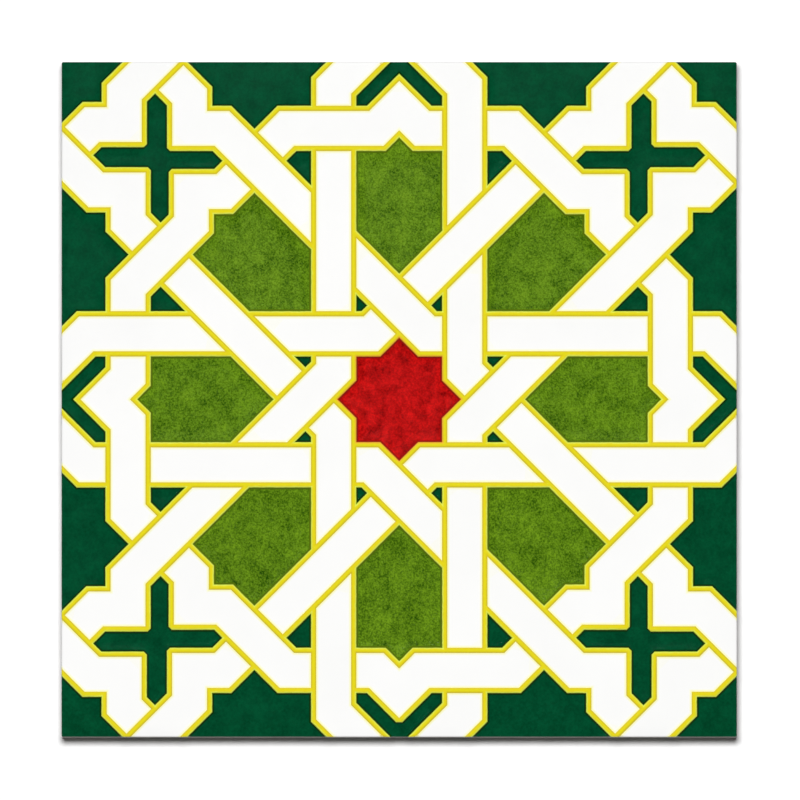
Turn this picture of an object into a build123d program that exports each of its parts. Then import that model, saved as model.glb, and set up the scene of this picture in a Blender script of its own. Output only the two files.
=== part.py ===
from build123d import *
import math
import os

# Star lattice wall tile, pressed, glazed and fired as one piece.
# It lies on its back, face up. The origin is the middle of the back.
# X and Y run along the sides and +Z points out of the face.

# Slab
tile_side = 152.4
thickness = 8.0  # back to the crest of the outlines
corner_radius = 0.4
arris = 0.35

# Relief of the face
line_rise = 0.35  # crest of the outlines above the straps
line_slope = 35  # lean of the outlines' flanks, in degrees
field_drop = 0.25  # coloured fields below the straps

# Straps
strap_pitch = 9.06  # from one outline of a strap to its other one
line_width = 1.2
nick = 0.7  # taken off an outline where it turns round a corner cross, and off one chevron's tip

# Where the middle lines of the straps run
star_axis = 14.79  # straight legs, from the middle lines of the tile
star_diagonal = 14.97  # slanted legs, from the diagonals of the tile
ring_side = 61.18  # the ring's eight sides and the knees in line with them
corner_knee = 62.05  # knees next to a tile corner
eye_diagonal = 60.4  # chevrons at the middle of a tile edge
knee_leg = 7.29  # both legs of each square knee

# Keyed back
key_count = 5
key_land = 5.0  # left standing between two keys
key_rim = 7.0  # left standing round them all
key_depth = 0.8
key_radius = 1.5

root2 = math.sqrt(2)
half_side = tile_side / 2
strap_width = strap_pitch + line_width
core_width = strap_pitch - line_width
past_edge = half_side + strap_width  # where open straps close, off the tile
strap_level = thickness - line_rise
field_level = strap_level - field_drop


def mirrored(points):
    """The same points on the other side of the Y axis."""
    return [(-x, y) for x, y in points]


def turned(sketch, quarters):
    """A sketch carried round the tile centre by quarter turns."""
    return sketch.rotate(Axis.Z, 90 * quarters)


def closed_band(path, width):
    """A band of one width along a closed path, with mitred corners."""
    with BuildSketch() as inner:
        with BuildLine():
            Polyline(*path, close=True)
        make_face()
        offset(amount=-width / 2, kind=Kind.INTERSECTION)
    with BuildSketch() as band:
        with BuildLine():
            Polyline(*path, close=True)
        make_face()
        offset(amount=width / 2, kind=Kind.INTERSECTION)
        add(inner.sketch, mode=Mode.SUBTRACT)
    return band.sketch


def crossing(over, at):
    """The stretch of the upper strap that hides a lower one at a crossing."""
    reach = strap_width / math.sin(math.radians(22.5))
    with BuildSketch() as patch:
        with Locations(at):
            Rectangle(reach, reach)
        add(over, mode=Mode.INTERSECT)
    return patch.sketch


def outlines(path, hidden):
    """Both outlines of a strap, broken where other straps lie over it."""
    with BuildSketch() as lines:
        add(closed_band(path, strap_width))
        add(closed_band(path, core_width), mode=Mode.SUBTRACT)
        for patch in hidden:
            add(patch, mode=Mode.SUBTRACT)
    return lines.sketch


# Ring: an octagon with a square knee in the middle of each side
knee_foot = knee_leg / root2
ring_turn = ring_side * math.tan(math.radians(22.5))
ring_path = []
for side in range(8):
    for across, out in ((-knee_foot, 0), (0, knee_foot), (knee_foot, 0), (ring_turn, 0)):
        corner = Vector(across, ring_side + out).rotate(Axis.Z, -45 * side)
        ring_path.append((corner.X, corner.Y))

# Star strap: from a tile edge, past the central star, to a tile corner
eye_shift = eye_diagonal * root2
star_shift = star_diagonal * root2
knee_end = ring_side + knee_leg - star_shift
star_path = [
    (past_edge - eye_shift, past_edge),
    (-star_axis, eye_shift - star_axis),
    (-star_axis, star_shift - star_axis),
    (-ring_side, star_shift - ring_side),
    (-ring_side, -knee_end),
    (-knee_end - star_shift, -knee_end),
    (-past_edge, star_shift - past_edge),
    (-past_edge, past_edge),
]
twin_path = mirrored(star_path)

# Corner strap: cuts off a tile corner, with a knee towards the centre
corner_shift = 2 * corner_knee + knee_leg
corner_path = [
    (past_edge - corner_shift, past_edge),
    (-corner_knee, corner_knee + knee_leg),
    (-corner_knee, corner_knee),
    (-corner_knee - knee_leg, corner_knee),
    (-past_edge, corner_shift - past_edge),
    (-past_edge, past_edge),
]

# Crossings of a star strap, in order from the tile edge
ring_in = (-star_axis, ring_side)
slant = (-star_axis, star_shift + star_axis)
straight = (-star_axis, star_axis)
twin_meet = (-star_shift, 0)
next_star = (-star_axis - star_shift, -star_axis)
ring_out = (-ring_side / root2 - star_shift / 2, star_shift / 2 - ring_side / root2)
corner_meet = (-(corner_shift + star_shift) / 2, (star_shift - corner_shift) / 2)
twin_ring_in, twin_slant, twin_twin_meet, twin_ring_out, twin_corner_meet = mirrored(
    [ring_in, slant, twin_meet, ring_out, corner_meet]
)

ring = closed_band(ring_path, strap_width)
star = closed_band(star_path, strap_width)
twin = closed_band(twin_path, strap_width)
corner = closed_band(corner_path, strap_width)

# The weave: along any strap it lies over and under by turns
star_lines = outlines(
    star_path,
    [
        crossing(ring, ring_in),
        crossing(turned(twin, 1), straight),
        crossing(turned(star, 1), next_star),
        crossing(turned(corner, 1), corner_meet),
    ],
)
twin_lines = outlines(
    twin_path,
    [
        crossing(turned(twin, 1), twin_slant),
        crossing(turned(star, 2), twin_twin_meet),
        crossing(ring, twin_ring_out),
    ],
)
over_ring = [crossing(star, ring_out), crossing(twin, twin_ring_in)]
ring_lines = outlines(ring_path, [turned(patch, q) for patch in over_ring for q in range(4)])
corner_lines = outlines(corner_path, [turned(crossing(twin, twin_corner_meet), 2)])

# Small bevels where four outlines turn round each corner cross, and where one chevron ends flat
ring_tip = (ring_side + knee_foot + strap_width / root2) / root2
corner_tip = corner_knee - strap_width / 2
knee_near = ring_side - strap_width / 2
knee_far = knee_end + strap_width / 2
chevron_tip = ring_side + knee_foot + strap_width / root2
with BuildSketch() as nicks:
    with PolarLocations(0, 4):
        with Locations(
            (-ring_tip, ring_tip),
            (-corner_tip, corner_tip),
            (-knee_near, knee_far),
            (-knee_far, knee_near),
        ):
            Rectangle(nick * root2, nick * root2, rotation=45)
    with Locations((0, -chevron_tip)):
        Rectangle(nick * 2, nick * 2)

# Outlines run a little past the edge, where the slab's outer form trims them
with BuildSketch(Plane.XY.offset(strap_level)) as outline_face:
    add(ring_lines)
    for q in range(4):
        add(turned(star_lines, q))
        add(turned(twin_lines, q))
        add(turned(corner_lines, q))
    add(nicks.sketch, mode=Mode.SUBTRACT)
    Rectangle(tile_side + strap_width, tile_side + strap_width, mode=Mode.INTERSECT)

with BuildSketch(Plane.XY.offset(field_level)) as field_face:
    Rectangle(tile_side, tile_side)
    add(ring, mode=Mode.SUBTRACT)
    for q in range(4):
        add(turned(star, q), mode=Mode.SUBTRACT)
        add(turned(twin, q), mode=Mode.SUBTRACT)
        add(turned(corner, q), mode=Mode.SUBTRACT)
    add(nicks.sketch)

# Outer form: a sharp square, its upright corners and top arris eased
with BuildPart() as envelope:
    Box(tile_side, tile_side, thickness, align=(Align.CENTER, Align.CENTER, Align.MIN))
    fillet(envelope.edges().filter_by(Axis.Z), radius=corner_radius)
    chamfer(envelope.faces().sort_by(Axis.Z)[-1].edges(), length=arris)

key_side = (tile_side - 2 * key_rim - (key_count - 1) * key_land) / key_count

with BuildPart() as tile:
    Box(tile_side, tile_side, strap_level, align=(Align.CENTER, Align.CENTER, Align.MIN))
    extrude(field_face.sketch, amount=field_drop, mode=Mode.SUBTRACT)
    extrude(outline_face.sketch, amount=line_rise, taper=line_slope)
    add(envelope.part, mode=Mode.INTERSECT)
    with BuildSketch(Plane.XY) as keys:
        with GridLocations(key_side + key_land, key_side + key_land, key_count, key_count):
            RectangleRounded(key_side, key_side, key_radius)
    extrude(amount=key_depth, mode=Mode.SUBTRACT)

os.makedirs("parts", exist_ok=True)
tile.part.label = "tile"
export_step(tile.part, "parts/tile.step")
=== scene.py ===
import math

import bmesh
import bpy
import numpy as np
from bpy.props import (
    FloatProperty,
    FloatVectorProperty,
    IntProperty,
    PointerProperty,
)
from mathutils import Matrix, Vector
from mathutils.geometry import delaunay_2d_cdt


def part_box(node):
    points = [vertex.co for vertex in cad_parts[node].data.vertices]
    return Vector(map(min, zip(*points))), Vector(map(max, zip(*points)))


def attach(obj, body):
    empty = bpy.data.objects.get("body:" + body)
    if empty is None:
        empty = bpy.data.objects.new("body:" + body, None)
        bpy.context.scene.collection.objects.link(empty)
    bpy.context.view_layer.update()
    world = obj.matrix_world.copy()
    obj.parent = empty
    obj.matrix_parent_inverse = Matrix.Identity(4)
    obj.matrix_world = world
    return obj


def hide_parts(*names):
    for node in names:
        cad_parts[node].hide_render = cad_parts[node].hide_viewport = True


bl_info = {
    "name": "Star Lattice Tile",
    "version": (1, 0, 0),
    "blender": (4, 5, 0),
    "location": "View3D > Sidebar > Tile",
    "description": "Glazes and stages the fired star lattice tile",
    "category": "Add Mesh",
}

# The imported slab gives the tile's outer sizes
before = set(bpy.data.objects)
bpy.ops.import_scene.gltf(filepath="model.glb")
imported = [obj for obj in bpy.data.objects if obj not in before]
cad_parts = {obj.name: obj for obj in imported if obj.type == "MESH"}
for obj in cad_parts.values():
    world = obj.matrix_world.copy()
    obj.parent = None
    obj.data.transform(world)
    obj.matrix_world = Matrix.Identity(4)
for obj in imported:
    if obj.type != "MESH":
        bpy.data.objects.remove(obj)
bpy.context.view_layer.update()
TILE_LOW, TILE_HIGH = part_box("tile")
MM = 0.001
ROOT2 = math.sqrt(2)

# Glaze of each face, as the tile's material slots number them
BISCUIT, WHITE, LINE, DARK_GREEN, LEAF_GREEN, RED = range(6)


class TileSizes(bpy.types.PropertyGroup):
    """Sizes of the slab, the relief and the strapwork."""

    strap_pitch: FloatProperty(
        name="Strap pitch", description="From one outline of a strap to its other one",
        default=9.06 * MM, unit="LENGTH",
    )
    line_width: FloatProperty(
        name="Line width", description="Width of the raised outlines", default=1.2 * MM, unit="LENGTH",
    )
    line_rise: FloatProperty(
        name="Line rise", description="Crest of the outlines above the straps",
        default=0.35 * MM, unit="LENGTH",
    )
    field_drop: FloatProperty(
        name="Field drop", description="Coloured fields below the straps",
        default=0.25 * MM, unit="LENGTH",
    )
    nick: FloatProperty(
        name="Nick",
        description="Bevel of an outline that turns round a corner cross, and of one chevron's tip",
        default=0.7 * MM, unit="LENGTH",
    )
    star_axis: FloatProperty(
        name="Star, straight legs", description="From the middle lines of the tile",
        default=14.79 * MM, unit="LENGTH",
    )
    star_diagonal: FloatProperty(
        name="Star, slanted legs", description="From the diagonals of the tile",
        default=14.97 * MM, unit="LENGTH",
    )
    ring_side: FloatProperty(
        name="Ring side", description="Sides of the ring strap, from the centre",
        default=61.18 * MM, unit="LENGTH",
    )
    corner_knee: FloatProperty(
        name="Corner knee", description="Knees next to a tile corner, from the middle lines",
        default=62.05 * MM, unit="LENGTH",
    )
    eye_diagonal: FloatProperty(
        name="Edge chevrons", description="Chevrons at the middle of a tile edge",
        default=60.4 * MM, unit="LENGTH",
    )
    knee_leg: FloatProperty(
        name="Knee leg", description="Both legs of each square knee", default=7.29 * MM, unit="LENGTH",
    )
    corner_radius: FloatProperty(
        name="Corner radius", description="Rounding of the upright corners",
        default=0.4 * MM, unit="LENGTH",
    )
    arris: FloatProperty(
        name="Arris", description="Rounding of the face's edges", default=0.35 * MM, unit="LENGTH",
    )
    foot_bevel: FloatProperty(
        name="Foot bevel", description="Bevel round the back", default=0.25 * MM, unit="LENGTH",
    )
    key_count: IntProperty(name="Keys", description="Keys along one side of the back", default=5, min=1)
    key_land: FloatProperty(
        name="Key land", description="Left standing between two keys", default=5.0 * MM, unit="LENGTH",
    )
    key_rim: FloatProperty(
        name="Key rim", description="Left standing round the keys", default=7.0 * MM, unit="LENGTH",
    )
    key_depth: FloatProperty(
        name="Key depth", description="Depth of a key", default=0.8 * MM, unit="LENGTH",
    )
    key_radius: FloatProperty(
        name="Key radius", description="Corner radius of a key", default=1.5 * MM, unit="LENGTH",
    )
    seed: IntProperty(name="Seed", description="Seed of the uneven glaze", default=4)


class GlazeColours(bpy.types.PropertyGroup):
    """Colours of the glazes and of the fired body."""

    white: FloatVectorProperty(
        name="White", description="Straps", subtype="COLOR", size=3, min=0, max=1,
        default=(0.955, 0.955, 0.945),
    )
    line: FloatVectorProperty(
        name="Yellow", description="Outlines", subtype="COLOR", size=3, min=0, max=1,
        default=(0.80, 0.70, 0.014),
    )
    dark_green: FloatVectorProperty(
        name="Dark green", description="Outer fields and crosses", subtype="COLOR", size=3, min=0, max=1,
        default=(0.0003, 0.062, 0.0215),
    )
    leaf_green: FloatVectorProperty(
        name="Leaf green", description="Eight inner fields", subtype="COLOR", size=3, min=0, max=1,
        default=(0.0925, 0.195, 0.0036),
    )
    red: FloatVectorProperty(
        name="Red", description="Central star", subtype="COLOR", size=3, min=0, max=1,
        default=(0.470, 0.0046, 0.0040),
    )
    biscuit: FloatVectorProperty(
        name="Fired body", description="Bare clay of the back and sides", subtype="COLOR", size=3,
        min=0, max=1, default=(0.70, 0.66, 0.59),
    )


class StageSettings(bpy.types.PropertyGroup):
    """Camera, lamp and sky."""

    lens: FloatProperty(name="Lens", description="Focal length in millimetres", default=1600.0, min=1.0)
    photo_share: FloatProperty(
        name="Photo share", description="Share of the photo's width that the tile fills",
        default=675.4 / 800, min=0.1, max=1.0,
    )
    aim: FloatVectorProperty(
        name="Aim",
        description="Shares of the photo's width that the tile lies off its middle, left and up",
        size=2, default=(0.00098, 0.00088),
    )
    tilt: FloatProperty(
        name="Camera tilt",
        description="Lean off straight down, which shows a strip of the tile's lower side",
        subtype="ANGLE", default=math.radians(1.68),
    )
    lamp_power: FloatProperty(name="Lamp", description="Power in watts", default=29.4)
    lamp_place: FloatVectorProperty(
        name="Lamp place", description="Middle of the soft lamp", subtype="TRANSLATION", unit="LENGTH",
        default=(-0.0415, 0.237, 1.6),
    )
    lamp_aim: FloatVectorProperty(
        name="Lamp aim", description="Where the lamp points, past the tile, which evens its light",
        subtype="TRANSLATION", unit="LENGTH", default=(0.143, -0.82, 0.0),
    )
    lamp_size: FloatVectorProperty(
        name="Lamp size", description="Width and height of the soft lamp", size=2, unit="LENGTH",
        default=(0.54, 0.45),
    )
    sky_low: FloatProperty(name="Low sky", description="Brightness near the horizon", default=0.15)
    sky_sheen: FloatProperty(
        name="Low sky in the gloss", description="Brightness near the horizon, as the glaze mirrors it",
        default=0.38,
    )
    sky_high: FloatProperty(name="High sky", description="Brightness overhead", default=0.012)


# Strapwork: each strap's middle line is a closed loop that runs off the tile where the strap does


def turn(points, quarters):
    """Points carried round the tile's centre by quarter turns."""
    points = np.asarray(points, float)
    for _ in range(quarters % 4):
        points = np.stack([-points[..., 1], points[..., 0]], axis=-1)
    return points


def mirror(points):
    """The same points on the other side of the Y axis."""
    return np.asarray(points, float) * (-1, 1)


class Strap:
    """One strap: its closed path, and the places where another strap hides it."""

    def __init__(self, path, hidden):
        self.path = np.asarray(path, float)
        self.hidden = [(np.asarray(at, float), np.asarray(along, float)) for at, along in hidden]

    def turned(self, quarters):
        """The strap carried round the tile's centre by quarter turns."""
        return Strap(
            turn(self.path, quarters),
            [(turn(at, quarters), turn(along, quarters)) for at, along in self.hidden],
        )


def lattice(sizes):
    """All the straps of the tile, with each crossing hidden on the strap that lies under."""
    half = TILE_HIGH.x
    past_edge = half + sizes.strap_pitch + sizes.line_width
    side, leg, star = sizes.ring_side, sizes.knee_leg, sizes.star_axis
    shift = sizes.star_diagonal * ROOT2
    eye = sizes.eye_diagonal * ROOT2
    knee_end = side + leg - shift
    level, upright, slant = (1, 0), (0, 1), (1 / ROOT2, 1 / ROOT2)
    falling = (1 / ROOT2, -1 / ROOT2)

    star_path = [
        (past_edge - eye, past_edge),
        (-star, eye - star),
        (-star, shift - star),
        (-side, shift - side),
        (-side, -knee_end),
        (-knee_end - shift, -knee_end),
        (-past_edge, shift - past_edge),
        (-past_edge, past_edge),
    ]
    corner_shift = 2 * sizes.corner_knee + leg
    corner_path = [
        (past_edge - corner_shift, past_edge),
        (-sizes.corner_knee, sizes.corner_knee + leg),
        (-sizes.corner_knee, sizes.corner_knee),
        (-sizes.corner_knee - leg, sizes.corner_knee),
        (-past_edge, corner_shift - past_edge),
        (-past_edge, past_edge),
    ]
    foot = leg / ROOT2
    quarter = [(-foot, side), (0, side + foot), (foot, side), (side * math.tan(math.pi / 8), side)]
    ring_path = []
    for step in range(8):
        cos, sin = math.cos(-step * math.pi / 4), math.sin(-step * math.pi / 4)
        ring_path += [(x * cos - y * sin, x * sin + y * cos) for x, y in quarter]

    ring_out = np.array((-side / ROOT2 - shift / 2, shift / 2 - side / ROOT2))
    corner_meet = np.array((-(corner_shift + shift) / 2, (shift - corner_shift) / 2))
    star_strap = Strap(star_path, [
        ((-star, side), level),
        ((-star, star), level),
        ((-star - shift, -star), level),
        (corner_meet, falling),
    ])
    twin_strap = Strap(mirror(star_path), [
        ((star, shift + star), slant),
        ((shift, 0), slant),
        (mirror(ring_out), slant),
    ])
    corner_strap = Strap(corner_path, [(turn(mirror(corner_meet), 2), falling)])
    ring = Strap(ring_path, [(turn(ring_out, q), turn(slant, q)) for q in range(4)]
                 + [(turn((star, side), q), turn(upright, q)) for q in range(4)])
    straps = [ring]
    for q in range(4):
        straps += [star_strap.turned(q), twin_strap.turned(q), corner_strap.turned(q)]
    return straps


def along_normals(loop):
    """Direction and left normal of each side of a closed loop."""
    step = np.roll(loop, -1, axis=0) - loop
    along = step / np.linalg.norm(step, axis=1)[:, None]
    return along, np.stack([-along[:, 1], along[:, 0]], axis=1)


def offset_loop(loop, away):
    """A closed loop moved sideways, to its left where away is positive, with mitred corners."""
    _, normal = along_normals(loop)
    before = np.roll(normal, 1, axis=0)
    mitre = normal + before
    mitre /= np.sum(mitre * normal, axis=1)[:, None]
    return loop + mitre * away


def inside(points, loop):
    """True for each point that a closed loop goes round."""
    x, y = points[:, 0], points[:, 1]
    result = np.zeros(len(points), bool)
    for (ax, ay), (bx, by) in zip(loop, np.roll(loop, -1, axis=0)):
        if ay == by:
            continue
        crosses = (ay > y) != (by > y)
        result ^= crosses & (x < (bx - ax) * (y - ay) / (by - ay) + ax)
    return result


def on_band(points, strap, width):
    """True for each point on a strap's band of that width."""
    left, right = offset_loop(strap.path, width / 2), offset_loop(strap.path, -width / 2)
    return inside(points, left) != inside(points, right)


class Run:
    """A straight stretch of one outline that shows, with the way its two ends are cut."""

    def __init__(self, start, end, cut_start, cut_end, core):
        self.start, self.end = start, end
        self.along = (end - start) / np.linalg.norm(end - start)
        self.normal = np.array((-self.along[1], self.along[0]))
        self.cut_start = cut_start / (cut_start @ self.normal)
        self.cut_end = cut_end / (cut_end @ self.normal)
        self.core = core  # the side that the strap's own white lies on: 1 left, -1 right

    def ends_at(self, away):
        """Both ends of the line that lies this far to the left of the run."""
        return self.start + self.cut_start * away, self.end + self.cut_end * away

    def measure(self, points):
        """Each point's distance to the left of the run, and whether its cut ends take the point in."""
        rel = points - self.start
        away = rel @ self.normal
        s = rel @ self.along
        low = away * (self.cut_start @ self.along)
        high = np.linalg.norm(self.end - self.start) + away * (self.cut_end @ self.along)
        return away, (s >= low - 1e-9) & (s <= high + 1e-9)


def visible_runs(strap, pitch):
    """The runs of both outlines of a strap, broken where it is hidden."""
    runs = []
    reach = pitch  # a hidden stretch has its middle nearer than this to its crossing
    for away, core in ((pitch / 2, -1), (-pitch / 2, 1)):
        loop = offset_loop(strap.path, away)
        along, normal = along_normals(loop)
        mitre = normal + np.roll(normal, 1, axis=0)
        for i, start in enumerate(loop):
            j = (i + 1) % len(loop)
            length = np.linalg.norm(loop[j] - start)
            breaks = []
            for at, over in strap.hidden:
                over_normal = np.array((-over[1], over[0]))
                slope = along[i] @ over_normal
                if abs(slope) < 0.1:
                    continue
                gap = (start - at) @ over_normal
                s = sorted(((-pitch / 2 - gap) / slope, (pitch / 2 - gap) / slope))
                middle = start + along[i] * (s[0] + s[1]) / 2
                if np.linalg.norm(middle - at) < reach and s[0] > 0 and s[1] < length:
                    breaks.append((s[0], s[1], over))
            s, cut = 0.0, mitre[i]
            for low, high, over in sorted(breaks, key=lambda b: b[0]):
                runs.append(Run(start + along[i] * s, start + along[i] * low, cut, over, core))
                s, cut = high, over
            runs.append(Run(start + along[i] * s, loop[j], cut, mitre[j], core))
    return runs


class FacePlan:
    """The tile's face as flat triangles whose edges follow every outline."""

    def __init__(self, sizes):
        self.sizes = sizes
        self.half_line = sizes.line_width / 2
        self.straps = lattice(sizes)
        margin = TILE_HIGH.x + sizes.strap_pitch
        self.runs = [
            run for strap in self.straps for run in visible_runs(strap, sizes.strap_pitch)
            if min(np.abs(run.start).max(), np.abs(run.end).max()) < margin
        ]
        self.points, self.edges = [], []

    def chain(self, points, close=False):
        """Adds points in a row, joined by edges."""
        first = len(self.points)
        self.points += [tuple(p) for p in points]
        last = len(self.points) - 1
        self.edges += [(i, i + 1) for i in range(first, last)]
        if close:
            self.edges.append((last, first))

    def bevels(self):
        """Bevelled corners of outlines: the place, the two ways out of it and the bevel's depth."""
        sizes = self.sizes
        half = sizes.strap_pitch / 2
        foot = sizes.knee_leg / ROOT2
        ring_tip = (sizes.ring_side + foot + half * ROOT2) / ROOT2
        corner_tip = sizes.corner_knee - half
        near = sizes.ring_side - half
        far = sizes.ring_side + sizes.knee_leg - sizes.star_diagonal * ROOT2 + half
        corners = [
            ((-ring_tip, ring_tip), (-1, 1)),
            ((-corner_tip, corner_tip), (1, -1)),
            ((-near, far), (1, 1)),
            ((-far, near), (-1, -1)),
        ]
        bevels = [
            (turn(at, q), turn((out[0], 0), q), turn((0, out[1]), q), sizes.nick)
            for at, out in corners for q in range(4)
        ]
        tip = np.array((0, -ring_tip * ROOT2))
        right, left = np.array((1, -1)) / ROOT2, np.array((-1, -1)) / ROOT2
        return bevels + [(tip, right, left, sizes.nick * ROOT2)]

    def across(self, points):
        """Distance from the nearest crest, the same towards its own white, and a spot past its far side."""
        nearest = np.full(len(points), 1.0)
        towards_core = np.full(len(points), 1.0)
        outside = np.array(points, float)
        past = self.half_line + 0.15 * MM
        corner_reach = 3 * MM
        for run in self.runs:
            away, taken = run.measure(points)
            closer = taken & (np.abs(away) < nearest)
            nearest[closer] = np.abs(away[closer])
            towards_core[closer] = away[closer] * run.core
            step = -run.core * past - away[closer]
            outside[closer] = points[closer] + run.normal * step[:, None]
        for at, first, second, depth in self.bevels():
            rel = np.stack([(points - at) @ first, (points - at) @ second], axis=1)
            cut = rel.sum(axis=1) - self.half_line + depth
            at_corner = (rel.min(axis=1) > -self.half_line) & (rel.max(axis=1) < corner_reach)
            at_corner &= (cut > nearest) & (nearest < corner_reach)
            nearest[at_corner] = cut[at_corner]
            towards_core[at_corner] = -cut[at_corner]
        return nearest, towards_core, outside

    def rim(self, points):
        """Distance in from the tile's edge."""
        radius = self.sizes.corner_radius
        inner = TILE_HIGH.x - radius
        rel = np.abs(points) - inner
        at_corner = rel.min(axis=1) > 0
        return radius - np.where(at_corner, np.linalg.norm(rel, axis=1), rel.max(axis=1))

    def draw_edge(self, inset, spacing):
        """A loop round the tile, this far in from its edge."""
        radius = max(self.sizes.corner_radius - inset, 0)
        flat = TILE_HIGH.x - self.sizes.corner_radius
        corner_steps = 4 if radius else 0
        loop = []
        for q in range(4):
            count = max(int(2 * flat / spacing), 1)
            side = [(flat + radius, -flat + 2 * flat * i / count) for i in range(count + 1)]
            bend = [
                (flat + radius * math.cos(a), flat + radius * math.sin(a))
                for a in (math.pi / 2 * i / corner_steps for i in range(1, corner_steps))
            ]
            loop += [tuple(turn(p, q)) for p in side + bend]
        tidy = [p for i, p in enumerate(loop) if math.dist(p, loop[i - 1]) > 1e-7]
        self.chain(tidy, close=True)

    def draw(self, spacing):
        """Draws the outlines with their flanks, the tile's edge and a grid between them."""
        half = self.half_line
        shares = (0.0, 0.4, 0.7, 0.9, 1.0)
        beyond = (0.12 * MM, 0.3 * MM, 0.55 * MM)
        aways = [half * s for s in shares] + [half + b for b in beyond]
        aways = sorted({-a for a in aways} | set(aways))
        limit = TILE_HIGH.x + 1 * MM
        for run in self.runs:
            ends = []
            for away in aways:
                a, b = run.ends_at(away)
                length = (b - a) @ run.along
                if length <= 0:
                    continue
                count = max(int(math.ceil(length / spacing)), 1)
                row = [a + (b - a) * i / count for i in range(count + 1)]
                row = [p for p in row if np.abs(p).max() < limit]
                if len(row) > 1:
                    self.chain(row)
                ends.append((a, b))
            for side in (0, 1):
                self.chain([e[side] for e in ends if np.abs(e[side]).max() < limit])
        for at, first, second, depth in self.bevels():
            low = half - depth
            for away in (a for a in aways if a > 0):
                self.chain([at + first * away + second * low, at + first * low + second * away])
        arris = self.sizes.arris
        for share in (0, 0.08, 0.3, 0.6, 1):
            self.draw_edge(arris * share, spacing)
        ticks = np.arange(-TILE_HIGH.x + spacing, TILE_HIGH.x, spacing)
        grid = np.array([(x, y) for x in ticks for y in ticks])
        clear = self.across(grid)[0]
        self.points += [tuple(p) for p in grid[clear > aways[-1] + spacing / 3]]

    def fields(self, corners, faces, plain):
        """Glaze of each face off the straps: red at the centre, leaf green in the ring's large fields."""
        centre = corners[faces].mean(axis=1)
        a, b, c = (corners[faces[:, i]] for i in range(3))
        b, c = b - a, c - a
        area = np.abs(b[:, 0] * c[:, 1] - c[:, 0] * b[:, 1]) / 2
        central = self.sizes.star_axis / 4
        large = self.sizes.strap_pitch ** 2 * 3
        neighbours = {}
        for f in np.flatnonzero(plain):
            for i in range(3):
                edge = tuple(sorted((faces[f][i], faces[f][(i + 1) % 3])))
                neighbours.setdefault(edge, []).append(f)
        beside = {}
        for pair in neighbours.values():
            if len(pair) == 2:
                beside.setdefault(pair[0], []).append(pair[1])
                beside.setdefault(pair[1], []).append(pair[0])
        glaze, seen = {}, set()
        for first in np.flatnonzero(plain):
            if first in seen:
                continue
            patch, todo = [], [first]
            seen.add(first)
            while todo:
                f = todo.pop()
                patch.append(f)
                for g in beside.get(f, ()):
                    if g not in seen:
                        seen.add(g)
                        todo.append(g)
            size = area[patch].sum()
            middle = (centre[patch] * area[patch][:, None]).sum(axis=0) / size
            away = np.linalg.norm(middle)
            colour = DARK_GREEN
            if away < central:
                colour = RED
            elif away < self.sizes.ring_side and size > large:
                colour = LEAF_GREEN
            glaze.update((f, colour) for f in patch)
        return glaze

    def mesh(self, name, spacing):
        """The flat plan as a mesh, with its measures as attributes."""
        self.draw(spacing)
        flat = [Vector((x / MM, y / MM)) for x, y in self.points]
        all_triangles, tolerance = 0, 1e-5
        corners, _, faces, _, _, _ = delaunay_2d_cdt(flat, self.edges, [], all_triangles, tolerance, True)
        corners = np.array([tuple(c) for c in corners]) * MM
        faces = np.array([tuple(f) for f in faces])
        centre = corners[faces].mean(axis=1)
        kept = self.rim(centre) > 0
        faces, centre = faces[kept], centre[kept]
        used, faces = np.unique(faces, return_inverse=True)
        faces = faces.reshape(-1, 3)
        corners = corners[used]

        near = self.across(centre)[0]
        on_strap = np.zeros(len(centre), bool)
        off_strap = np.ones(len(corners), bool)
        for strap in self.straps:
            on_strap |= on_band(centre, strap, self.sizes.strap_pitch)
            off_strap &= ~on_band(corners, strap, self.sizes.strap_pitch)
        glaze = np.where(near < self.half_line, LINE, WHITE)
        plain = (near >= self.half_line) & ~on_strap
        for face, colour in self.fields(corners, faces, plain).items():
            glaze[face] = colour

        across, towards_core, outside = self.across(corners)
        beside = np.ones(len(corners))
        for strap in self.straps:
            beside[on_band(outside, strap, self.sizes.strap_pitch)] = 0
        beside[(beside > 0) & (np.linalg.norm(outside, axis=1) < self.sizes.star_axis)] = 2
        mesh = bpy.data.meshes.new(name)
        mesh.from_pydata([(x, y, 0) for x, y in corners], [], faces.tolist())
        for label, values in (
            ("across", across), ("towards_core", towards_core), ("rim", self.rim(corners)),
            ("sunken", off_strap.astype(float)), ("beside", beside),
        ):
            layer = mesh.attributes.new(label, "FLOAT", "POINT")
            layer.data.foreach_set("value", values.astype(np.float32))
        mesh.attributes.new("glaze", "INT", "FACE").data.foreach_set("value", glaze.astype(np.int32))
        return mesh


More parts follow.
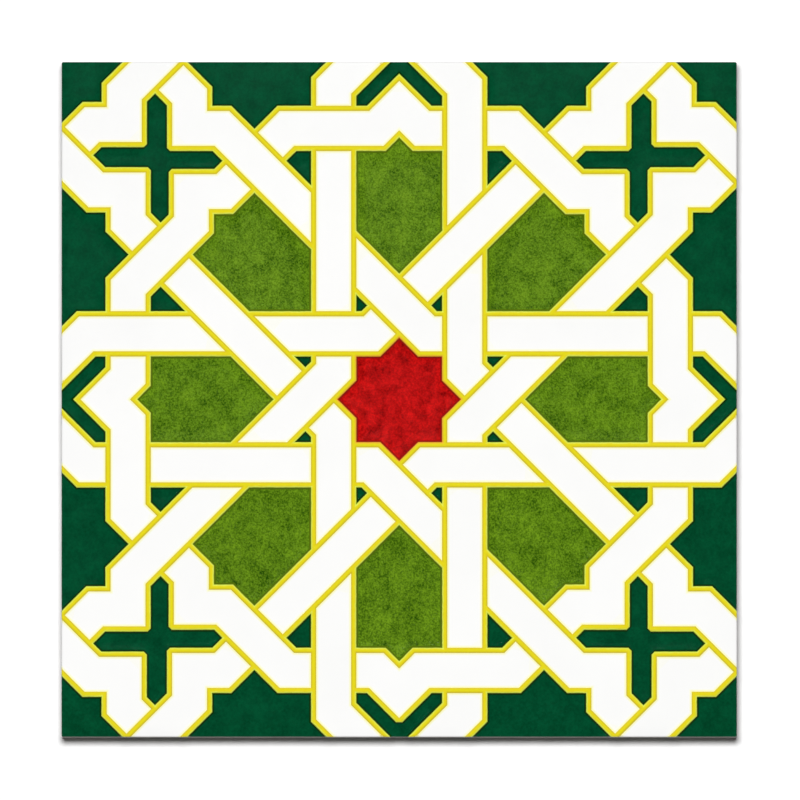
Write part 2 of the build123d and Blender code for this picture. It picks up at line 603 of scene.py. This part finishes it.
class Tree:
    """A node tree, filled from left to right."""

    def __init__(self, tree):
        self.tree = tree
        self.tree.nodes.clear()
        self.place = 0

    def add(self, kind, *inputs, named=None, **settings):
        """Adds a node, sets it, and feeds its inputs in their order with sockets or plain values."""
        node = self.tree.nodes.new(kind)
        node.location = (self.place % 12 * 190, -(self.place // 12) * 320)
        self.place += 1
        for key, value in settings.items():
            setattr(node, key, value)
        shown = [s for s in node.inputs if s.enabled]
        by_name = [(node.inputs[key], value) for key, value in (named or {}).items()]
        for socket, value in list(zip(shown, inputs)) + by_name:
            if isinstance(value, bpy.types.NodeSocket):
                self.tree.links.new(value, socket)
            elif value is not None:
                socket.default_value = value
        return node

    def math(self, operation, *inputs, clamp=False):
        """The result of a Math node."""
        return self.add("ShaderNodeMath", *inputs, operation=operation, use_clamp=clamp).outputs[0]

    def remap(self, value, low, high, to_low, to_high, smooth=False):
        """A value carried from one range to another, and kept within it."""
        node = self.add(
            "ShaderNodeMapRange", value, low, high, to_low, to_high,
            interpolation_type="SMOOTHSTEP" if smooth else "LINEAR",
        )
        return node.outputs[0]


class GeometryTree(Tree):
    """A Geometry Nodes tree with named inputs."""

    def __init__(self, name):
        super().__init__(bpy.data.node_groups.new(name, "GeometryNodeTree"))
        self.values = {}
        self.tree.interface.new_socket("Geometry", in_out="OUTPUT", socket_type="NodeSocketGeometry")
        self.tree.interface.new_socket("Geometry", in_out="INPUT", socket_type="NodeSocketGeometry")
        self.source = self.add("NodeGroupInput")

    def input(self, name, kind, value):
        """Adds a named input with the value that the modifier gives it."""
        socket = self.tree.interface.new_socket(name, in_out="INPUT", socket_type="NodeSocket" + kind)
        self.values[socket.identifier] = value
        return self.source.outputs[name]

    def attribute(self, name, kind="FLOAT"):
        """A named attribute of the mesh."""
        return self.add("GeometryNodeInputNamedAttribute", name, data_type=kind).outputs[0]

    def moved(self, geometry, selection, x, y, z):
        """Geometry with its selected points at a new place."""
        place = self.add("ShaderNodeCombineXYZ", x, y, z).outputs[0]
        return self.add("GeometryNodeSetPosition", geometry, selection, place).outputs[0]

    def applied(self, name, mesh):
        """The plain mesh that the tree makes of a mesh."""
        source = bpy.data.objects.new(name + "_source", mesh)
        bpy.context.scene.collection.objects.link(source)
        modifier = source.modifiers.new(name, "NODES")
        modifier.node_group = self.tree
        for identifier, value in self.values.items():
            modifier[identifier] = value
        graph = bpy.context.evaluated_depsgraph_get()
        made = bpy.data.meshes.new_from_object(
            source.evaluated_get(graph), preserve_all_data_layers=True, depsgraph=graph,
        )
        source.modifiers.remove(modifier)
        bpy.data.objects.remove(source)
        made.name = name
        return made


def tile_tree(sizes, materials):
    """The tree that raises the relief on the flat plan and adds the sides and the keyed back."""
    tree = GeometryTree("tile_relief")
    add, calc = tree.add, tree.math
    length = "Float"
    thickness = tree.input("Thickness", length, TILE_HIGH.z)
    line_width = tree.input("Line Width", length, sizes.line_width)
    rise = tree.input("Line Rise", length, sizes.line_rise)
    drop = tree.input("Field Drop", length, sizes.field_drop)
    pool = tree.input("Glaze Pool Width", length, 0.42 * MM)
    uneven = tree.input("Unevenness", length, 0.03 * MM)
    arris = tree.input("Arris", length, sizes.arris)
    bevel = tree.input("Foot Bevel", length, sizes.foot_bevel)
    side = tree.input("Tile Side", length, TILE_HIGH.x - TILE_LOW.x)
    key_count = tree.input("Key Count", "Int", sizes.key_count)
    key_land = tree.input("Key Land", length, sizes.key_land)
    key_rim = tree.input("Key Rim", length, sizes.key_rim)
    key_depth = tree.input("Key Depth", length, sizes.key_depth)
    key_radius = tree.input("Key Radius", length, sizes.key_radius)
    seed = tree.input("Seed", "Int", sizes.seed)

    # Relief: rounded outlines, and the glaze drawn up along their feet
    foot_share = 0.14
    half_line = calc("MULTIPLY", line_width, 0.5)
    across = tree.attribute("across")
    share = calc("DIVIDE", across, half_line, clamp=True)
    crown = calc("SUBTRACT", 1.0, calc("MULTIPLY", calc("POWER", share, 3.0), 1 - foot_share))
    crest = calc("MULTIPLY", crown, rise)
    base = calc("MULTIPLY", calc("MULTIPLY", tree.attribute("sunken"), drop), -1.0)
    foot = calc("MULTIPLY", rise, foot_share)
    beyond = tree.remap(across, half_line, calc("ADD", half_line, pool), 0.0, 1.0, smooth=True)
    level = calc("ADD", foot, calc("MULTIPLY", beyond, calc("SUBTRACT", base, foot)))
    on_line = calc("LESS_THAN", across, half_line)
    relief = calc("ADD", level, calc("MULTIPLY", on_line, calc("SUBTRACT", crest, level)))

    place = add("GeometryNodeInputPosition").outputs[0]
    waves = 320.0  # per metre
    wander = add(
        "ShaderNodeTexNoise", place, seed, waves, 2.0, 0.5, noise_dimensions="4D",
    ).outputs[0]
    sag = calc("MULTIPLY", wander, uneven)

    # The face's edge is rounded like a quarter circle
    gap = calc("MAXIMUM", calc("SUBTRACT", arris, tree.attribute("rim")), 0.0)
    inner = calc("SUBTRACT", calc("MULTIPLY", arris, arris), calc("MULTIPLY", gap, gap))
    inner = calc("MAXIMUM", inner, 0.0)
    rounding = calc("SUBTRACT", arris, calc("SQRT", inner))
    raised = calc("ADD", calc("SUBTRACT", thickness, rise), relief)
    height = calc("SUBTRACT", raised, calc("ADD", sag, rounding))
    flat = add("ShaderNodeSeparateXYZ", place).outputs
    face = tree.moved(tree.source.outputs["Geometry"], True, flat[0], flat[1], height)

    # Sides: down to a small bevel round the back
    borders = calc("COMPARE", add("GeometryNodeInputMeshEdgeNeighbors").outputs[0], 1.0, 0.1)
    wall = add("GeometryNodeExtrudeMesh", face, borders, (0, 0, 0), 0.0, mode="EDGES")
    sides = tree.moved(wall.outputs[0], wall.outputs[1], flat[0], flat[1], bevel)
    rim = add("GeometryNodeExtrudeMesh", sides, wall.outputs[1], (0, 0, 0), 0.0, mode="EDGES")
    inset = calc("SUBTRACT", 1.0, calc("DIVIDE", calc("MULTIPLY", bevel, 2.0), side))
    body = tree.moved(
        rim.outputs[0], rim.outputs[1],
        calc("MULTIPLY", flat[0], inset), calc("MULTIPLY", flat[1], inset), 0.0,
    )

    # Back: keys sunk in a grid, each a rounded square with leaning walls
    gaps = calc("SUBTRACT", key_count, 1.0)
    free = calc("SUBTRACT", side, calc("MULTIPLY", key_rim, 2.0))
    free = calc("SUBTRACT", free, calc("MULTIPLY", gaps, key_land))
    key_side = calc("DIVIDE", free, key_count)
    spread = calc("MULTIPLY", calc("ADD", key_side, key_land), gaps)
    grid = add("GeometryNodeMeshGrid", spread, spread, key_count, key_count).outputs[0]
    square = add("GeometryNodeCurvePrimitiveQuadrilateral", key_side, key_side).outputs[0]
    mouth = add("GeometryNodeFilletCurve", named={
        "Curve": square, "Count": 5, "Radius": key_radius,
    }, mode="POLY").outputs[0]
    lean = calc("SUBTRACT", 1.0, calc("DIVIDE", calc("MULTIPLY", key_depth, 0.5), key_side))
    shrink = add("ShaderNodeCombineXYZ", lean, lean, 1.0).outputs[0]
    lift = add("ShaderNodeCombineXYZ", 0.0, 0.0, key_depth).outputs[0]
    floor_curve = add("GeometryNodeTransform", named={"Geometry": mouth, "Scale": shrink}).outputs[0]
    flat_floor = add("GeometryNodeFillCurve", floor_curve, mode="NGONS").outputs[0]
    key_floor = add("GeometryNodeTransform", named={
        "Geometry": flat_floor, "Translation": lift,
    }).outputs[0]
    ring = add("GeometryNodeCurveToMesh", mouth).outputs[0]
    key_wall = add("GeometryNodeExtrudeMesh", ring, True, (0, 0, 0), 0.0, mode="EDGES")
    walls = tree.moved(
        key_wall.outputs[0], key_wall.outputs[1],
        calc("MULTIPLY", flat[0], lean), calc("MULTIPLY", flat[1], lean), key_depth,
    )
    key = add("GeometryNodeJoinGeometry", key_floor)
    tree.tree.links.new(walls, key.inputs[0])
    per_point = "GeometryNodeInstanceOnPoints"
    keys = add(per_point, named={"Points": grid, "Instance": key.outputs[0]}).outputs[0]
    mouths = add(per_point, named={"Points": grid, "Instance": mouth}).outputs[0]
    foot_loop = add("GeometryNodeMeshToCurve", body, rim.outputs[1]).outputs[0]
    outline = add("GeometryNodeJoinGeometry", foot_loop)
    tree.tree.links.new(add("GeometryNodeRealizeInstances", mouths).outputs[0], outline.inputs[0])
    land = add("GeometryNodeFillCurve", outline.outputs[0], mode="TRIANGLES").outputs[0]

    whole = add("GeometryNodeJoinGeometry", body)
    tree.tree.links.new(land, whole.inputs[0])
    tree.tree.links.new(keys, whole.inputs[0])
    result = add("GeometryNodeRealizeInstances", whole.outputs[0]).outputs[0]
    result = add("GeometryNodeMergeByDistance", result, True, 1e-6).outputs[0]
    result = add("GeometryNodeSetShadeSmooth", result, True, True, domain="FACE").outputs[0]
    bend = add("GeometryNodeInputMeshEdgeAngle").outputs[0]
    crease = calc("GREATER_THAN", bend, math.radians(40))
    result = add("GeometryNodeSetShadeSmooth", result, crease, False, domain="EDGE").outputs[0]
    glaze = tree.attribute("glaze", "INT")
    for number, material in enumerate(materials):
        chosen = calc("COMPARE", glaze, float(number), 0.1)
        socket = tree.input(material.name, "Material", material)
        result = add("GeometryNodeSetMaterial", result, chosen, socket).outputs[0]
    add("NodeGroupOutput", result)
    return tree


class Surface(Tree):
    """A procedural material on Object coordinates."""

    def __init__(self, name):
        material = bpy.data.materials.new(name)
        material.use_nodes = True
        super().__init__(material.node_tree)
        self.material = material
        self.where = self.add("ShaderNodeTexCoord").outputs["Object"]

    def noise(self, size, detail=3.0, roughness=0.55, seed=0.0):
        """Noise with features of this size in metres."""
        node = self.add(
            "ShaderNodeTexNoise", self.where, seed, 1 / size, detail, roughness, noise_dimensions="4D",
        )
        return node.outputs[0]

    def blend(self, share, first, second):
        """A colour between two others."""
        node = self.add("ShaderNodeMix", share, first, second, data_type="RGBA", blend_type="MIX")
        return [s for s in node.outputs if s.enabled][0]

    def bump(self, height, strength, distance):
        """A normal that leans with the height."""
        return self.add("ShaderNodeBump", named={
            "Strength": strength, "Distance": distance, "Height": height,
        }).outputs[0]

    def finish(self, colour, roughness, normal, gloss=0.4):
        """The shader of one coat."""
        body = self.add("ShaderNodeBsdfPrincipled", named={
            "Base Color": colour, "Roughness": roughness, "Normal": normal,
        })
        body.inputs["Specular IOR Level"].default_value = gloss
        return body.outputs[0]

    def output(self, shader):
        """The finished material."""
        self.add("ShaderNodeOutputMaterial", shader)
        return self.material


def shade(colour, factor):
    """A colour made darker or lighter, as RGBA."""
    return tuple(min(c * factor, 1.0) for c in colour) + (1.0,)


def fired_clay(surface, colour):
    """Bare pressed clay: pale, grainy and dry."""
    mottle = surface.remap(surface.noise(9 * MM, 4.0), 0.3, 0.7, 0.0, 1.0)
    tone = surface.blend(mottle, shade(colour, 0.9), shade(colour, 1.06))
    specks = surface.remap(surface.noise(0.7 * MM, 2.0, seed=3.0), 0.66, 0.72, 0.0, 0.55)
    tone = surface.blend(specks, tone, shade((colour[0], colour[1] * 0.82, colour[2] * 0.66), 0.62))
    grain = surface.noise(0.35 * MM, 4.0, 0.7, seed=5.0)
    rough = surface.remap(grain, 0.3, 0.7, 0.78, 0.95)
    return surface.finish(tone, rough, surface.bump(grain, 0.6, 0.08 * MM), gloss=0.25)


def glazed(surface, tone, rough, normal, clay):
    """Glaze on the face that stops partway down the sides, over bare clay."""
    coat = surface.finish(tone, rough, normal)
    bare = fired_clay(surface, clay)
    height = surface.add("ShaderNodeSeparateXYZ", surface.where).outputs[2]
    waver = surface.remap(surface.noise(5 * MM, 3.0, seed=8.0), 0.25, 0.75, -0.8 * MM, 0.8 * MM)
    above = surface.math("ADD", height, waver)
    cover = surface.remap(above, TILE_HIGH.z - 2.6 * MM, TILE_HIGH.z - 2.45 * MM, 0.0, 1.0)
    return surface.output(surface.add("ShaderNodeMixShader", cover, bare, coat).outputs[0])


def biscuit_material(colours):
    """Bare clay, as the back and the keys show it."""
    surface = Surface("fired_clay")
    return surface.output(fired_clay(surface, colours.biscuit))


def white_material(colours, half_line, seed):
    """White glaze that the yellow has bled into beside the outlines."""
    surface = Surface("white_glaze")
    cloud = surface.remap(surface.noise(16 * MM, 3.0, seed=seed), 0.3, 0.7, 0.0, 1.0)
    tone = surface.blend(cloud, shade(colours.white, 0.985), shade(colours.white, 1.01))
    pins = surface.remap(surface.noise(0.5 * MM, 1.0, seed=seed + 1), 0.78, 0.82, 0.0, 0.25)
    warm = (colours.white[0], colours.white[1] * 0.95, colours.white[2] * 0.86)
    tone = surface.blend(pins, tone, shade(warm, 0.8))
    across = surface.add("ShaderNodeAttribute", attribute_name="across").outputs["Fac"]
    bleed = surface.remap(across, half_line, half_line + 0.7 * MM, 0.65, 0.0, smooth=True)
    tone = surface.blend(bleed, tone, (colours.white[0], colours.white[1] * 0.985, 0.25, 1.0))
    skin = surface.noise(1.6 * MM, 2.0, seed=seed + 2)
    rough = surface.remap(surface.noise(6 * MM, 2.0, seed=seed + 3), 0.3, 0.7, 0.10, 0.17)
    return glazed(surface, tone, rough, surface.bump(skin, 0.25, 0.04 * MM), colours.biscuit)


def line_material(colours, half_line, seed):
    """Yellow outlines: golden beside the white, paler beside green, orange beside red."""
    surface = Surface("yellow_glaze")
    towards = surface.add("ShaderNodeAttribute", attribute_name="towards_core").outputs["Fac"]
    wavy = surface.remap(surface.noise(1.4 * MM, 3.0, seed=seed), 0.25, 0.75, -0.12 * MM, 0.12 * MM)
    towards = surface.math("ADD", towards, wavy)
    yellow = colours.line
    pale = (yellow[0] * 1.06, yellow[1] * 1.36, yellow[2] * 9.0, 1.0)
    golden = (yellow[0] * 0.96, yellow[1] * 0.86, yellow[2] * 1.6, 1.0)
    outer = surface.remap(towards, -0.8 * half_line, -0.2 * half_line, 1.0, 0.0, smooth=True)
    inner = surface.remap(towards, 0.2 * half_line, 0.8 * half_line, 0.0, 1.0, smooth=True)
    tone = surface.blend(inner, yellow[:] + (1.0,), golden)
    tone = surface.blend(outer, tone, golden)
    beside = surface.add("ShaderNodeAttribute", attribute_name="beside").outputs["Fac"]
    by_field = surface.remap(beside, 0.4, 0.6, 0.0, 1.0)
    by_star = surface.remap(beside, 1.4, 1.6, 0.0, 1.0)
    outer = surface.math("MULTIPLY", outer, by_field)
    orange = (min(yellow[0] * 1.2, 1.0), yellow[1] * 0.72, yellow[2] * 3.4, 1.0)
    tone = surface.blend(outer, tone, surface.blend(by_star, pale, orange))
    foot = surface.remap(towards, -1.0 * half_line, -0.75 * half_line, 0.8, 0.0, smooth=True)
    foot = surface.math("MULTIPLY", foot, by_field)
    olive = (yellow[0] * 0.36, yellow[1] * 0.66, yellow[2] * 0.5, 1.0)
    rust = (yellow[0], yellow[1] * 0.48, yellow[2] * 0.5, 1.0)
    tone = surface.blend(foot, tone, surface.blend(by_star, olive, rust))
    patchy = surface.remap(surface.noise(0.8 * MM, 3.0, seed=seed + 1), 0.3, 0.7, 0.0, 0.35)
    tone = surface.blend(patchy, tone, shade(yellow, 0.84))
    skin = surface.noise(0.9 * MM, 2.0, seed=seed + 2)
    rough = surface.remap(skin, 0.3, 0.7, 0.16, 0.26)
    return glazed(surface, tone, rough, surface.bump(skin, 0.3, 0.05 * MM), colours.biscuit)


def mottled_material(name, dark, light, edge, blotch, grain, share, half_line, seed, clay):
    """A coloured glaze that has pooled unevenly: soft blotches, grain on them, and a darker band along the
    feet of the outlines.
    """
    surface = Surface(name)
    soft = surface.remap(surface.noise(blotch, 3.0, 0.6, seed=seed), 0.33, 0.67, 0.0, 1.0)
    fine = surface.remap(surface.noise(grain, 2.0, 0.7, seed=seed + 1), 0.37, 0.63, 0.0, 1.0)
    soft = surface.math("MULTIPLY", soft, 1 - share)
    fine = surface.math("MULTIPLY", fine, share)
    tone = surface.blend(surface.math("ADD", soft, fine), dark, light)
    across = surface.add("ShaderNodeAttribute", attribute_name="across").outputs["Fac"]
    # Darker colour in a narrow band of the field beside each outline's foot
    at_edge = surface.remap(across, half_line + 0.33 * MM, half_line + 0.5 * MM, 1.0, 0.0, smooth=True)
    tone = surface.blend(at_edge, tone, edge)
    skin = surface.noise(1.8 * MM, 2.0, seed=seed + 2)
    rough = surface.remap(surface.noise(5 * MM, 2.0, seed=seed + 3), 0.3, 0.7, 0.12, 0.2)
    return glazed(surface, tone, rough, surface.bump(skin, 0.25, 0.05 * MM), clay)


def tint(colour, factors):
    """A colour with each channel multiplied, as RGBA."""
    return tuple(min(c * f, 1.0) for c, f in zip(colour, factors)) + (1.0,)


def glaze_materials(sizes, colours):
    """The tile's materials in the order of their numbers."""
    seed = float(sizes.seed)
    clay = tuple(colours.biscuit)
    half_line = sizes.line_width / 2
    dark, leaf, red = colours.dark_green, colours.leaf_green, colours.red
    return [
        biscuit_material(colours),
        white_material(colours, half_line, seed),
        line_material(colours, half_line, seed + 10),
        mottled_material(
            "dark_green_glaze", tint(dark, (0.3, 0.68, 0.7)), tint(dark, (3.0, 1.32, 1.4)),
            tint(dark, (4, 0.52, 0.01)), 4 * MM, 0.6 * MM, 0.45, half_line, seed + 20, clay,
        ),
        mottled_material(
            "leaf_green_glaze", tint(leaf, (0.12, 0.28, 0.1)), tint(leaf, (1.93, 1.75, 3.4)),
            tint(leaf, (1.0, 0.8, 0.1)), 3.6 * MM, 0.36 * MM, 0.6, half_line, seed + 30, clay,
        ),
        mottled_material(
            "red_glaze", tint(red, (0.32, 0.1, 0.2)), tint(red, (1.6, 1.9, 2.0)),
            tint(red, (0.62, 0.9, 0.1)), 2.6 * MM, 0.5 * MM, 0.45, half_line, seed + 40, clay,
        ),
    ]


class MESH_OT_star_lattice_tile(bpy.types.Operator):
    """Build the fired tile: relief, glazes, sides and keyed back"""

    bl_idname = "mesh.star_lattice_tile"
    bl_label = "Star Lattice Tile"

    def execute(self, context):
        sizes, colours = context.scene.tile_sizes, context.scene.glaze_colours
        plan = FacePlan(sizes).mesh("tile_plan", 2.4 * MM)
        tree = tile_tree(sizes, glaze_materials(sizes, colours))
        made = tree.applied("glazed_tile", plan)
        shape = bmesh.new()
        shape.from_mesh(made)
        bmesh.ops.recalc_face_normals(shape, faces=shape.faces)
        open_edges = sum(not edge.is_manifold for edge in shape.edges)
        shape.to_mesh(made)
        shape.free()
        if open_edges or not made.polygons:
            raise RuntimeError("The glazed tile isn't a closed shape")
        piece = bpy.data.objects.new("glazed_tile", made)
        context.scene.collection.objects.link(piece)
        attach(piece, "root")
        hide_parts("tile")
        return {"FINISHED"}


def stage_object(name, data):
    """A new object that belongs to the stage."""
    made = bpy.data.objects.new(name, data)
    bpy.context.scene.collection.objects.link(made)
    return made


def soft_lamp(name, place, target, size, power):
    """A soft lamp that points somewhere and leaves no highlight."""
    lamp = bpy.data.lights.new(name, "AREA")
    lamp.shape = "ELLIPSE"
    lamp.size, lamp.size_y = size
    lamp.energy = power
    made = stage_object(name, lamp)
    made.location = place
    made.rotation_euler = (Vector(target) - Vector(place)).to_track_quat("-Z", "Y").to_euler()
    made.visible_glossy = False
    return made


def floor_material():
    """Pale floor that looks white where no shadow falls, and sends little light back at the tile."""
    surface = Surface("white_floor")
    rays = surface.add("ShaderNodeLightPath").outputs
    seen = surface.math("MAXIMUM", rays["Is Camera Ray"], rays["Is Glossy Ray"])
    grain = surface.remap(surface.noise(2 * MM, 3.0), 0.3, 0.7, 0.97, 1.0)
    in_bounce, in_view = 0.35, 1.05
    plain = surface.math("MULTIPLY", grain, surface.remap(seen, 0.0, 1.0, in_bounce, in_view))
    tone = surface.add("ShaderNodeCombineColor", plain, plain, plain).outputs[0]
    body = surface.add("ShaderNodeBsdfDiffuse", tone).outputs[0]
    return surface.output(body)


class SCENE_OT_tile_stage(bpy.types.Operator):
    """Set up the floor, the lamp, the sky and the camera above the tile"""

    bl_idname = "scene.tile_stage"
    bl_label = "Tile Stage"

    def execute(self, context):
        stage = context.scene.tile_stage
        side = TILE_HIGH.x - TILE_LOW.x
        top = TILE_HIGH.z
        if side <= 0:
            raise RuntimeError("The frame holds no tile to stage")

        floor = bpy.data.meshes.new("floor")
        reach = 6 * side
        under = -0.02 * MM  # just clear of the back
        corners = [(x * reach, y * reach, under) for x, y in ((-1, -1), (1, -1), (1, 1), (-1, 1))]
        floor.from_pydata(corners, [], [(0, 1, 2, 3)])
        floor.materials.append(floor_material())
        stage_object("floor", floor)

        camera = bpy.data.cameras.new("camera")
        camera.lens = stage.lens
        width = side / stage.photo_share
        holder = stage_object("camera", camera)
        away = camera.lens / camera.sensor_width * width
        middle = Vector((stage.aim[0] * width, -stage.aim[1] * width, top))
        holder.location = middle + Vector((0, -math.sin(stage.tilt), math.cos(stage.tilt))) * away
        holder.rotation_euler = (stage.tilt, 0, 0)
        context.scene.camera = holder

        soft_lamp("soft_lamp", stage.lamp_place, stage.lamp_aim, stage.lamp_size, stage.lamp_power)

        # Overhead the sky is dark, so the gloss doesn't veil the deep glazes
        world = bpy.data.worlds.new("world")
        world.use_nodes = True
        tree = Tree(world.node_tree)
        rays = tree.add("ShaderNodeLightPath").outputs
        direction = tree.add("ShaderNodeTexCoord").outputs["Generated"]
        upward = tree.add("ShaderNodeSeparateXYZ", direction).outputs[2]
        low = tree.remap(rays["Is Glossy Ray"], 0.0, 1.0, stage.sky_low, stage.sky_sheen)
        sky = tree.remap(upward, 0.25, 0.75, low, stage.sky_high, smooth=True)
        glow = tree.math("MAXIMUM", rays["Is Camera Ray"], sky)
        shine = tree.add("ShaderNodeBackground", (1.0, 1.0, 1.0, 1.0), glow).outputs[0]
        tree.add("ShaderNodeOutputWorld", shine)
        context.scene.world = world
        context.scene.view_settings.view_transform = "Standard"
        return {"FINISHED"}


class VIEW3D_PT_tile(bpy.types.Panel):
    """Makes the tile and its stage"""

    bl_label = "Star Lattice Tile"
    bl_space_type = "VIEW_3D"
    bl_region_type = "UI"
    bl_category = "Tile"

    def draw(self, context):
        scene = context.scene
        for settings in (scene.tile_sizes, scene.glaze_colours, scene.tile_stage):
            column = self.layout.column()
            for name in settings.__annotations__:
                column.prop(settings, name)
        self.layout.operator(MESH_OT_star_lattice_tile.bl_idname)
        self.layout.operator(SCENE_OT_tile_stage.bl_idname)


CLASSES = (
    TileSizes, GlazeColours, StageSettings,
    MESH_OT_star_lattice_tile, SCENE_OT_tile_stage, VIEW3D_PT_tile,
)


def register():
    """Adds the classes, and the settings to every scene."""
    for kind in CLASSES:
        bpy.utils.register_class(kind)
    bpy.types.Scene.tile_sizes = PointerProperty(type=TileSizes)
    bpy.types.Scene.glaze_colours = PointerProperty(type=GlazeColours)
    bpy.types.Scene.tile_stage = PointerProperty(type=StageSettings)


def unregister():
    """Takes out what register adds."""
    del bpy.types.Scene.tile_stage
    del bpy.types.Scene.glaze_colours
    del bpy.types.Scene.tile_sizes
    for kind in reversed(CLASSES):
        bpy.utils.unregister_class(kind)


def main():
    """Builds the tile and its stage."""
    register()
    bpy.ops.mesh.star_lattice_tile()
    bpy.ops.scene.tile_stage()


if __name__ == "__main__":
    main()
